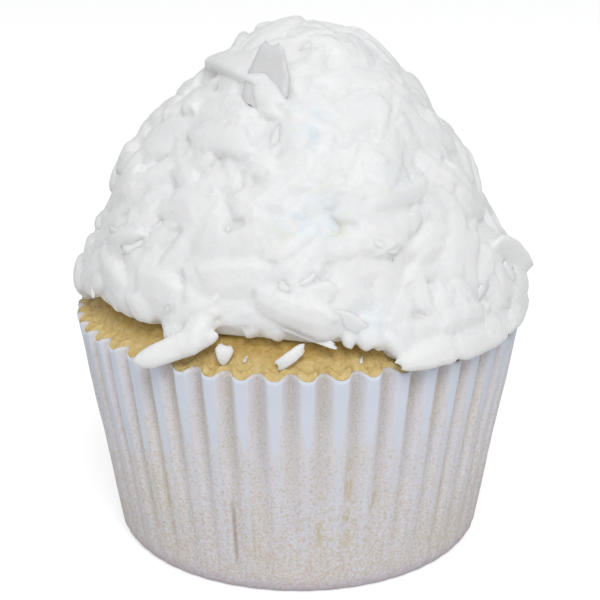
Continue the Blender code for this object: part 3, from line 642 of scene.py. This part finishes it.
def flake_points(stations, thickness, arch, rag, draw, edge=(16, 12)):
    """A flake's skin over three pairs of edge points, its ends torn and its faces wavy. The edge
    holds two powers, for its ends and sides: the higher they are, the thinner its rounding."""
    along, across = np.meshgrid(FLAKE_ALONG, FLAKE_ACROSS, indexing="ij")
    tears = [draw.uniform(0.0, math.tau) for _ in range(6)]
    end = np.where(along > 0.0, 1.0, -1.0)
    torn = np.sin(2.6 * across + tears[0] + end) + 0.6 * np.sin(6.1 * across + tears[1] - 2.0 * end)
    bitten = np.sin(3.3 * along + tears[2]) + 0.7 * np.sin(7.7 * along + tears[3])
    u = along * (1.0 + rag * torn * np.abs(along) ** 3)
    v = across * (1.0 + 0.6 * rag * bitten) * np.sqrt(1.0 - ROUNDED * along**6)
    blend = np.stack([0.5 * u * (u - 1.0), 1.0 - u * u, 0.5 * u * (u + 1.0)], -1)
    pairs = np.array(stations)
    left, right = blend @ pairs[:, 0], blend @ pairs[:, 1]
    share = 0.5 * (v + 1.0)[..., None]
    sheet = left * (1.0 - share) + right * share
    out = np.cross(np.gradient(sheet, axis=0), np.gradient(sheet, axis=1))
    out /= np.linalg.norm(out, axis=-1, keepdims=True)
    wave = arch * (1.0 - v * v) + 0.25 * arch * np.sin(2.4 * u + tears[4]) * np.sin(1.9 * v + tears[5])
    sheet = sheet + out * wave[..., None]
    body = np.sqrt(np.clip((1.0 - along ** edge[0]) * (1.0 - across ** edge[1]), 0.0, 1.0))
    half = out * (0.5 * thickness * body)[..., None]
    return np.concatenate([(sheet + half).reshape(-1, 3), (sheet - half)[1:-1, 1:-1].reshape(-1, 3)])


def laid_stations(direction, heading, size, lift, cut, press):
    """Edge points, in three pairs, of a flake that lies on the mound at this heading. The lift is
    that of its first end, its last and one side, the cut is its slant and the share of its width
    at either end, and the press is how closely it follows the frosting beneath."""
    step = direction / np.linalg.norm(direction)
    length, width = size
    right = np.cross((0.0, 0.0, 1.0), step)
    right = right / np.linalg.norm(right) if np.linalg.norm(right) > 0.05 else np.array((1.0, 0.0, 0.0))
    rise = np.cross(step, right)
    probe = np.array([step, step + 0.08 * right, step - 0.08 * right, step + 0.08 * rise,
                      step - 0.08 * rise])
    place, east, west, north, south = on_mound(probe, 0.5)
    across, up = east - west, north - south
    out = np.cross(across, up)
    out /= np.linalg.norm(out)
    turn = math.radians(heading)
    along = across / np.linalg.norm(across) * math.cos(turn) + up / np.linalg.norm(up) * math.sin(turn)
    along /= np.linalg.norm(along)
    side = np.cross(out, along)
    slant, first_width, last_width = cut
    middle_width = 0.5 * (first_width + last_width) + 0.06
    spread, proud = [], []
    for share, left in ((0.0, first_width), (0.5, middle_width), (1.0, last_width)):
        for reach in (-0.5 * width * left, 0.5 * width * left):
            offset = along * ((share - 0.5) * length + slant * reach) + side * reach
            spread.append(place + offset - out * FOLLOW * np.dot(offset, offset))
            proud.append(lerp(lift[0], lift[1], share) + lift[2] * reach / width)
    spread = np.array(spread)
    laid = lerp(spread, on_mound(spread - MOUND_HEART, 0.5), press)
    return (laid + out * np.array(proud)[:, None]).reshape(3, 2, 3)


def placed_stations(start, end, across, width, tip):
    """Edge points, in three pairs, of a flake from one point to another, arched a little. The
    points are given as azimuth in degrees, radius and height in mm."""
    first, last = [polar(math.radians(turn), r * MM, z * MM) for turn, r, z in (start, end)]
    run = (last - first) / np.linalg.norm(last - first)
    side = np.array(across) - run * np.dot(run, across)
    side /= np.linalg.norm(side)
    out = np.cross(run, side)
    pairs = []
    for share in (0.0, 0.5, 1.0):
        centre = lerp(first, last, share) + out * 0.5 * MM * math.sin(math.pi * share)
        half = side * 0.5 * width * MM * lerp(1.0, tip, share**2)
        pairs.append((centre - half, centre + half))
    return np.array(pairs)


def clear_of_cake(stations):
    """True where a flake keeps off the sponge and the paper's rim."""
    points = stations.reshape(-1, 3)
    radius = np.hypot(points[:, 0], points[:, 1])
    floor = np.where(radius < DOME_RADIUS + MM, dome_height(radius), -1.0)
    floor = np.where(radius < RIM_RADIUS + 0.5 * MM, np.maximum(floor, WALL_HEIGHT), floor)
    return bool((points[:, 2] > floor + CAKE_GAP).all())


def scattered(count, lengths, widths, lifts, tilt, press, draw):
    """Stations of flakes spread evenly over the mound, with sizes, lifts and tilt in mm."""
    golden = math.pi * (3.0 - math.sqrt(5.0))
    made = []
    for i in range(count):
        climb = math.asin(lerp(HIGHEST, LOWEST, (i + 0.5) / count))
        azimuth = i * golden + draw.uniform(-STRAY, STRAY)
        heading = draw.gauss(HEADING, HEADING_SPREAD)
        size = draw.uniform(*lengths) * MM, draw.uniform(*widths) * MM
        lift = [draw.uniform(*lifts) * MM, draw.uniform(*lifts) * MM, draw.uniform(-tilt, tilt) * MM]
        cut = draw.uniform(-SLANT, SLANT), draw.uniform(*END_WIDTHS), draw.uniform(*END_WIDTHS)
        for _ in range(TRIES):
            direction = polar(azimuth, math.cos(climb), math.sin(climb))
            stations = laid_stations(direction, heading, size, lift, cut, press)
            if clear_of_cake(stations):
                made.append(stations)
                break
            climb += HIGHER
    return made


def mound_mesh(sides, rows):
    azimuths = np.arange(sides) * math.tau / sides
    edge = polar(azimuths, edge_radius(azimuths), edge_height(azimuths)) - MOUND_HEART
    lowest = np.arctan2(edge[:, 2], np.hypot(edge[:, 0], edge[:, 1]))
    rings = []
    for share in (0.3, 0.6, 0.85, 0.96):
        radius = share * edge_radius(azimuths)
        rings.append(polar(azimuths, radius, dome_height(radius) + UNDERSIDE_GAP))
    for row in range(rows, 0, -1):
        climb = lerp(math.pi / 2, lowest, row / rows)
        ring = on_mound(polar(azimuths, np.cos(climb), np.sin(climb)))
        rings.append(lerp(ring, MOUND_HEART, BEDDING))
    top = on_mound(np.array([(0.0, 0.0, 1.0)]))[0]
    return closed_tube(rings, (0.0, 0.0, WALL_HEIGHT + DOME_HEIGHT + UNDERSIDE_GAP), top)


def join_flakes(start, flakes):
    """Points and faces of many flakes, numbered from start."""
    points, faces = [], []
    for flake in flakes:
        faces += flake_faces(start)
        points.append(flake)
        start += len(flake)
    return np.concatenate(points), faces


SUNK_SEED = 3
MOUND_SIDES, MOUND_ROWS = 160, 70
BEDDING = 0.011  # share by which the frosting lies in from the surface that the flakes make
VOXEL = 0.25 * MM
SOFTENING = 3  # rounds of smoothing
KEPT_FACES = 0.4  # share of them that is kept when the skin is thinned out
# Flakes that have sunk in: how many, lengths, widths, lifts, tilt and press as laid_stations takes
# them, thickness and arch in mm, and raggedness.
SUNK = (
    (130, (7.0, 11.0), (4.5, 7.0), (-0.9, 0.0), 1.3, 0.45, 2.2, 0.4, 0.12),
    (320, (4.0, 8.0), (3.0, 5.0), (-0.8, 0.05), 1.35, 0.4, 1.9, 0.3, 0.16),
    (200, (2.0, 4.0), (1.5, 2.8), (-0.6, 0.05), 0.9, 0.35, 1.1, 0.15, 0.2),
)
SUNK_EDGE = 6, 4
STRAP_CUT = 0.3, 0.8, 0.7  # slant, and share of the width at either end
# The longest shavings, laid up to the right across the front: azimuth in degrees, height in mm,
# heading in degrees, and length, width, lift, tilt and thickness in mm.
STRAPS = (
    (-17.0, 45.5, 30.0, 15.0, 4.5, 0.0, 0.6, 1.0),
    (1.0, 49.5, 30.0, 19.0, 4.0, 0.0, 0.6, 1.0),
    (13.0, 54.0, 22.0, 15.0, 4.0, 0.0, 0.6, 1.0),
    (32.0, 50.0, 8.0, 11.0, 3.4, 0.0, 0.6, 1.0),
    (22.0, 46.5, 12.0, 14.0, 4.0, 0.0, 0.6, 1.0),
    (28.0, 60.5, 20.0, 12.0, 3.6, 0.0, 0.6, 1.0),
    (-2.0, 39.5, 20.0, 12.0, 4.6, 0.0, 0.6, 1.0),
    (48.0, 40.0, 65.0, 9.0, 5.0, 0.0, 0.6, 1.0),
    (24.0, 41.5, 80.0, 11.0, 5.0, 0.0, 0.6, 1.0),
    (-14.0, 37.8, -8.0, 9.0, 3.6, 0.0, 0.6, 1.0),
    (55.0, 57.0, -65.0, 12.0, 4.0, 0.0, 0.6, 1.0),
    (-64.0, 63.9, -4.0, 18.0, 4.8, 0.4, -2.0, 1.5),  # over the notch
)
# Coated flakes and drips at the edges: two ends, direction across, width, its share at the tip,
# and thickness in mm.
COATED = (
    ((-23.0, 26.2, 38.4), (-26.0, 30.2, 33.2), (0.9, -0.2, 0.1), 3.4, 0.9, 1.9),  # left rim
    ((-20.5, 28.2, 35.7), (-37.0, 32.2, 31.5), (0.35, -0.4, -0.85), 3.1, 0.85, 1.7),
    ((-28.0, 26.8, 36.0), (-33.5, 28.6, 34.2), (0.3, -0.4, -0.85), 2.8, 0.8, 2.0),
    ((38.0, 30.5, 33.3), (22.0, 30.9, 32.4), (0.29, -0.43, -0.85), 4.4, 0.4, 1.4),  # right rim
    ((24.0, 30.0, 35.2), (41.0, 30.8, 33.4), (0.2, -0.3, -0.9), 5.0, 0.9, 1.5),
    ((56.0, 30.5, 33.4), (36.0, 30.8, 32.7), (0.35, -0.4, -0.85), 4.6, 0.7, 1.4),
    ((48.0, 30.4, 34.8), (64.0, 30.7, 33.2), (0.35, -0.3, -0.85), 4.6, 0.8, 1.5),
    ((80.0, 29.8, 34.2), (60.0, 30.6, 32.8), (0.5, -0.18, -0.85), 3.8, 0.7, 1.3),
    ((11.0, 27.0, 37.2), (12.0, 28.3, 34.3), (1.0, 0.2, 0.0), 1.7, 0.9, 1.4),  # over the sponge
    ((17.0, 26.6, 37.8), (17.4, 28.7, 34.0), (1.0, 0.3, 0.0), 4.6, 0.7, 2.2),
    ((20.5, 27.8, 36.0), (24.0, 29.9, 32.9), (1.0, 0.3, -0.3), 2.6, 0.7, 1.8),
    ((66.0, 27.0, 41.2), (80.0, 31.4, 37.4), (0.1, 0.3, -0.95), 6.0, 0.2, 1.4),  # pointed, right
    ((58.0, 29.2, 35.3), (79.5, 31.3, 32.9), (0.3, -0.3, -0.9), 2.6, 0.2, 1.2),
    ((-24.0, 14.6, 59.6), (-74.0, 14.6, 59.0), (-0.35, -0.25, -0.9), 3.6, 0.95, 1.6),  # at the notch
)
draw = random.Random(SUNK_SEED)
core_points, core_faces = mound_mesh(MOUND_SIDES, MOUND_ROWS)
sunk = []
for count, lengths, widths, lifts, tilt, press, thickness, arch, rag in SUNK:
    for stations in scattered(count, lengths, widths, lifts, tilt, press, draw):
        sunk.append(flake_points(stations, thickness * MM, arch * MM, rag, draw, SUNK_EDGE))

for turn, z, heading, length, width, lift, tilt, thickness in STRAPS:
    direction = on_outline(turn, z) - MOUND_HEART
    stations = laid_stations(direction, heading, (length * MM, width * MM),
                             (lift * MM, lift * MM + 0.3 * MM, tilt * MM), STRAP_CUT, 0.8)
    sunk.append(flake_points(stations, thickness * MM, 0.25 * MM, 0.06, draw))
for start, end, across, width, tip, thickness in COATED:
    stations = placed_stations(start, end, across, width, tip)
    sunk.append(flake_points(stations, thickness * MM, 0.3 * MM, 0.08, draw, SUNK_EDGE))
sunk_points, sunk_faces = join_flakes(len(core_points), sunk)
rough = add_piece("rough_mound", np.concatenate([core_points, sunk_points]), core_faces + sunk_faces)


def fused(piece, name):
    """A copy of the piece's overlapping solids as one skin, softened a little and thinned out."""
    skin = piece.modifiers.new("skin", "REMESH")
    skin.mode = "VOXEL"
    skin.voxel_size = VOXEL
    soft = piece.modifiers.new("soft", "SMOOTH")
    soft.factor = 0.5
    soft.iterations = SOFTENING
    thin = piece.modifiers.new("thin", "DECIMATE")
    thin.ratio = KEPT_FACES
    graph = bpy.context.evaluated_depsgraph_get()
    mesh = bpy.data.meshes.new_from_object(piece.evaluated_get(graph))
    mesh.name = name
    mesh.shade_smooth()
    bpy.data.objects.remove(piece)
    made = bpy.data.objects.new(name, mesh)
    bpy.context.scene.collection.objects.link(made)
    return made


frosting = fused(rough, "frosting_mound")
# Where the light comes through bluish: azimuth in degrees, height and spread in mm.
COOL_PATCHES = ((5.0, 59.5, 1.6), (4.0, 57.0, 1.8), (4.0, 48.5, 3.2), (30.0, 52.0, 2.2),
                (17.0, 36.5, 2.2), (24.0, 34.0, 1.6), (-33.0, 35.0, 1.5))
DULL_FROSTING, BRIGHT_FROSTING = (0.808, 0.811, 0.814), (0.874, 0.875, 0.875)
THIN_FROSTING, CREAM = (0.81, 0.825, 0.84), (0.865, 0.86, 0.84)
COOL, COOL_BORDER = (0.73, 0.86, 0.95), (0.79, 0.79, 0.70)
skin = np.empty(len(frosting.data.vertices) * 3, np.float32)
frosting.data.vertices.foreach_get("co", skin)
skin = skin.reshape(-1, 3)
cool = np.zeros(len(skin))
for turn, z, spread in COOL_PATCHES:
    cool += bell(np.linalg.norm(skin - on_outline(turn, z), axis=1), spread * MM)
mark(frosting.data, "cool", np.clip(cool, 0.0, 1.0))
mark(frosting.data, "border", bell(cool - 0.3, 0.2))
nearest = KDTree(len(sunk_points))
for i, point in enumerate(sunk_points.tolist()):
    nearest.insert(point, i)
nearest.balance()
per_flake = len(sunk[0])
flake_tones = np.array([draw.uniform(0.0, 1.0) for _ in sunk])
hits = np.array([nearest.find(point)[1] for point in skin.tolist()])
mark(frosting.data, "tone", flake_tones[hits // per_flake])


def frosting_material():
    material, tree, surface = new_material("white_frosting")
    broad = grain(tree, 9.0 * MM, 1.0, 0.5, 0.4)
    small = grain(tree, 2.2 * MM, 1.0, 0.4, 0.3)
    fine = grain(tree, 0.5 * MM, 1.0)
    colour = mixed(tree, value_of(tree, "tone"), DULL_FROSTING, BRIGHT_FROSTING)
    colour = tinted(tree, colour, broad["Spots"], 0.4, THIN_FROSTING)
    colour = tinted(tree, colour, small["Spots"], 0.5, CREAM)
    patchy = combine(tree, "MULTIPLY", value_of(tree, "cool"), eased(tree, small["Height"], 0.3, 0.6))
    colour = tinted(tree, colour, patchy, 0.65, COOL)
    border = combine(tree, "MULTIPLY", value_of(tree, "border"), eased(tree, small["Height"], 0.5, 0.66))
    colour = tinted(tree, colour, border, 0.65, COOL_BORDER)
    fill(tree, surface.inputs["Base Color"], colour)
    fill(tree, surface.inputs["Roughness"], eased(tree, fine["Height"], 0.3, 0.7, 0.42, 0.62))
    surface.inputs["Specular IOR Level"].default_value = 0.35
    surface.inputs["Subsurface Weight"].default_value = 0.6
    surface.inputs["Subsurface Radius"].default_value = (1.0, 0.95, 0.9)
    surface.inputs["Subsurface Scale"].default_value = 1.8 * MM
    surface.inputs["Sheen Weight"].default_value = 0.25
    surface.inputs["Sheen Roughness"].default_value = 0.4
    soft = raised(tree, small["Height"], 0.18 * MM)
    fill(tree, surface.inputs["Normal"], raised(tree, fine["Height"], 0.06 * MM, soft))
    return material


frosting.data.materials.append(frosting_material())
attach(frosting, "root")
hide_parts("frosting")

# === Broad coconut flakes ====================================================================
# Shavings of white coconut, dried and cut broad, that stuck to the frosting last. They lie at
# every angle, partly sunk, and most run up to the right across the front.
CHIP_SEED = 12
CHIPS = 46
GREYEST = 0.6  # tone of the greyest of the mixed flakes
GREY_COCONUT, WHITE_COCONUT, CLOUDED = (0.66, 0.66, 0.665), (0.87, 0.87, 0.865), (0.80, 0.84, 0.88)
draw = random.Random(CHIP_SEED)
chips = scattered(CHIPS, (4.0, 8.0), (2.4, 4.6), (-0.7, 0.3), 1.7, 0.4, draw)
chip_skins = [flake_points(s, draw.uniform(0.5, 0.7) * MM, 0.15 * MM, 0.14, draw) for s in chips]


def add_flakes(name, skins, tones):
    """One piece from many flakes, each with its own tone, from 0 for grey to 1 for white."""
    points, faces = join_flakes(0, skins)
    return add_piece(name, points, faces, {"tone": np.repeat(tones, [len(skin) for skin in skins])})


def mixed_tones(skins, draw):
    return [draw.uniform(GREYEST, 1.0) for _ in skins]


def coconut_material():
    material, tree, surface = new_material("coconut_flesh")
    cloud = grain(tree, 3.0 * MM, 1.0, 0.5, 0.4)
    fibre = grain(tree, 0.35 * MM, 4.0)
    colour = mixed(tree, value_of(tree, "tone"), GREY_COCONUT, WHITE_COCONUT)
    colour = tinted(tree, colour, cloud["Spots"], 0.5, CLOUDED)
    fill(tree, surface.inputs["Base Color"], colour)
    fill(tree, surface.inputs["Roughness"], eased(tree, fibre["Height"], 0.3, 0.7, 0.38, 0.55))
    surface.inputs["Specular IOR Level"].default_value = 0.4
    surface.inputs["Subsurface Weight"].default_value = 0.3
    surface.inputs["Subsurface Radius"].default_value = (1.0, 0.97, 0.92)
    surface.inputs["Subsurface Scale"].default_value = 0.8 * MM
    fill(tree, surface.inputs["Normal"], raised(tree, fibre["Height"], 0.05 * MM))
    return material


COCONUT = coconut_material()
broad_flakes = add_flakes("coconut_broad_flakes", chip_skins, mixed_tones(chip_skins, draw))
broad_flakes.data.materials.append(COCONUT)
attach(broad_flakes, "root")
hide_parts("frosting")

# === Flakes that stand out ===================================================================
# Flakes held by the frosting at one end only: a fan of thin ones over the bare sponge, and one
# upright near the top, whose grey tone is painted shade. Each is given in the terms of the coated ones,
# and its tone.
OVERHANGS = (
    ((-6.0, 27.6, 37.7), (8.5, 28.8, 34.7), (0.3, -0.3, -0.9), 1.5, 0.6, 0.8, 0.9),
    ((-3.0, 27.0, 38.6), (4.5, 28.6, 36.1), (0.3, -0.3, -0.9), 1.4, 0.5, 0.8, 0.9),
    # Painted shade: the upright flake gets the greyest tone.
    ((-17.0, 14.9, 60.2), (-17.5, 10.9, 67.3), (0.95, -0.26, 0.0), 5.8, 0.6, 0.6, 0.0),
)
overhangs = []
for start, end, across, width, tip, thickness, _ in OVERHANGS:
    stations = placed_stations(start, end, across, width, tip)
    overhangs.append(flake_points(stations, thickness * MM, 0.2 * MM, 0.1, draw))
standing_flakes = add_flakes("coconut_standing_flakes", overhangs, [row[-1] for row in OVERHANGS])
standing_flakes.data.materials.append(COCONUT)
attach(standing_flakes, "root")
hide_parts("frosting")

# === Shreds ==================================================================================
# Narrow shreds and slivers of dried coconut, cut off along with the flakes and mixed in with
# them. They stick to the frosting between the flakes and on top of them.
SHRED_SEED = 24
SHREDS = 44
draw = random.Random(SHRED_SEED)
shreds = scattered(SHREDS, (3.0, 7.0), (1.0, 1.8), (-0.35, 0.2), 0.8, 0.5, draw)
shred_skins = [flake_points(s, 0.6 * MM, 0.1 * MM, 0.08, draw) for s in shreds]
fine_shreds = add_flakes("coconut_shreds", shred_skins, mixed_tones(shred_skins, draw))
fine_shreds.data.materials.append(COCONUT)
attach(fine_shreds, "root")
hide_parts("frosting")

# === Dropped flakes ==========================================================================
# Small flakes of the same dried coconut, which have fallen from the frosting and lie loose on
# the bare sponge in front. Each is given in the terms of the coated ones.
DROPPED = (
    ((-18.2, 27.9, 34.1), (-18.5, 28.35, 31.9), (1.0, 0.1, 0.1), 2.2, 0.3, 0.6),
    ((-4.9, 28.6, 32.3), (1.2, 27.8, 34.5), (-0.6, 0.0, 0.75), 1.6, 0.7, 0.6),
    ((-13.0, 28.4, 32.6), (-12.6, 28.1, 33.0), (1.0, 0.1, 0.1), 0.4, 0.6, 0.3),
    ((15.0, 28.5, 32.4), (15.4, 28.2, 32.9), (1.0, 0.1, 0.1), 0.4, 0.6, 0.3),
)
dropped = []
for start, end, across, width, tip, thickness in DROPPED:
    stations = placed_stations(start, end, across, width, tip)
    dropped.append(flake_points(stations, thickness * MM, 0.1 * MM, 0.1, draw))
dropped_flakes = add_flakes("coconut_dropped_flakes", dropped, mixed_tones(dropped, draw))
dropped_flakes.data.materials.append(COCONUT)
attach(dropped_flakes, "root")
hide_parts("sponge")

# === Floor, light and camera =================================================================
# A plain pale floor under soft studio light: a white room, with one broad lamp above and in
# front of the cake. The camera stands at the photo's viewing angle.
FLOOR_REACH = 2.0
FLOOR_GREY, FLOOR_DULLNESS = 0.68, 0.9
FLOOR_GLOW = 0.52  # lifts the floor to the photo's white, without lighting the cake from below
ROOM_WHITE, ROOM_LIGHT = (0.985, 0.992, 1.0, 1.0), 0.54
LAMP_PLACE, LAMP_AIM = Vector((0.10, -0.94, 1.08)), Vector((0.0, 0.0, 0.04))
LAMP_SIZE, LAMP_POWER = 0.7, 9.5
FOCAL_LENGTH = 82.36  # in mm, as is the sensor
CAMERA_PLACE, CAMERA_DROP = (0.00017, -0.178817, 0.090092), 18.28  # its dip in degrees
corners = np.array([(-1.0, -1.0, 0.0), (1.0, -1.0, 0.0), (1.0, 1.0, 0.0), (-1.0, 1.0, 0.0)])
floor = add_piece("floor", FLOOR_REACH * corners, [(0, 1, 2, 3)])
floor_material, floor_tree, floor_surface = new_material("pale_floor")
floor_surface.inputs["Base Color"].default_value = (FLOOR_GREY, FLOOR_GREY, FLOOR_GREY, 1.0)
floor_surface.inputs["Roughness"].default_value = FLOOR_DULLNESS
floor_surface.inputs["Emission Color"].default_value = (1.0, 1.0, 1.0, 1.0)
seen = add_node(floor_tree, "LightPath").outputs["Is Camera Ray"]
fill(floor_tree, floor_surface.inputs["Emission Strength"],
     combine(floor_tree, "MULTIPLY", seen, FLOOR_GLOW))
floor.data.materials.append(floor_material)

room = bpy.data.worlds.new("white_room")
room.use_nodes = True
room.node_tree.nodes["Background"].inputs["Color"].default_value = ROOM_WHITE
room.node_tree.nodes["Background"].inputs["Strength"].default_value = ROOM_LIGHT
bpy.context.scene.world = room

light = bpy.data.lights.new("broad_lamp", "AREA")
light.shape = "DISK"
light.size = LAMP_SIZE
light.energy = LAMP_POWER
lamp = bpy.data.objects.new("broad_lamp", light)
lamp.location = LAMP_PLACE
lamp.rotation_euler = (LAMP_AIM - LAMP_PLACE).to_track_quat("-Z", "Y").to_euler()
bpy.context.scene.collection.objects.link(lamp)

lens = bpy.data.cameras.new("camera")
lens.lens = FOCAL_LENGTH
lens.sensor_width = 36.0
lens.clip_start = 0.01
camera = bpy.data.objects.new("camera", lens)
camera.location = CAMERA_PLACE
camera.rotation_euler = (math.radians(90.0 - CAMERA_DROP), 0.0, 0.0)
bpy.context.scene.collection.objects.link(camera)
bpy.context.scene.camera = camera
bpy.context.scene.view_settings.view_transform = "Standard"
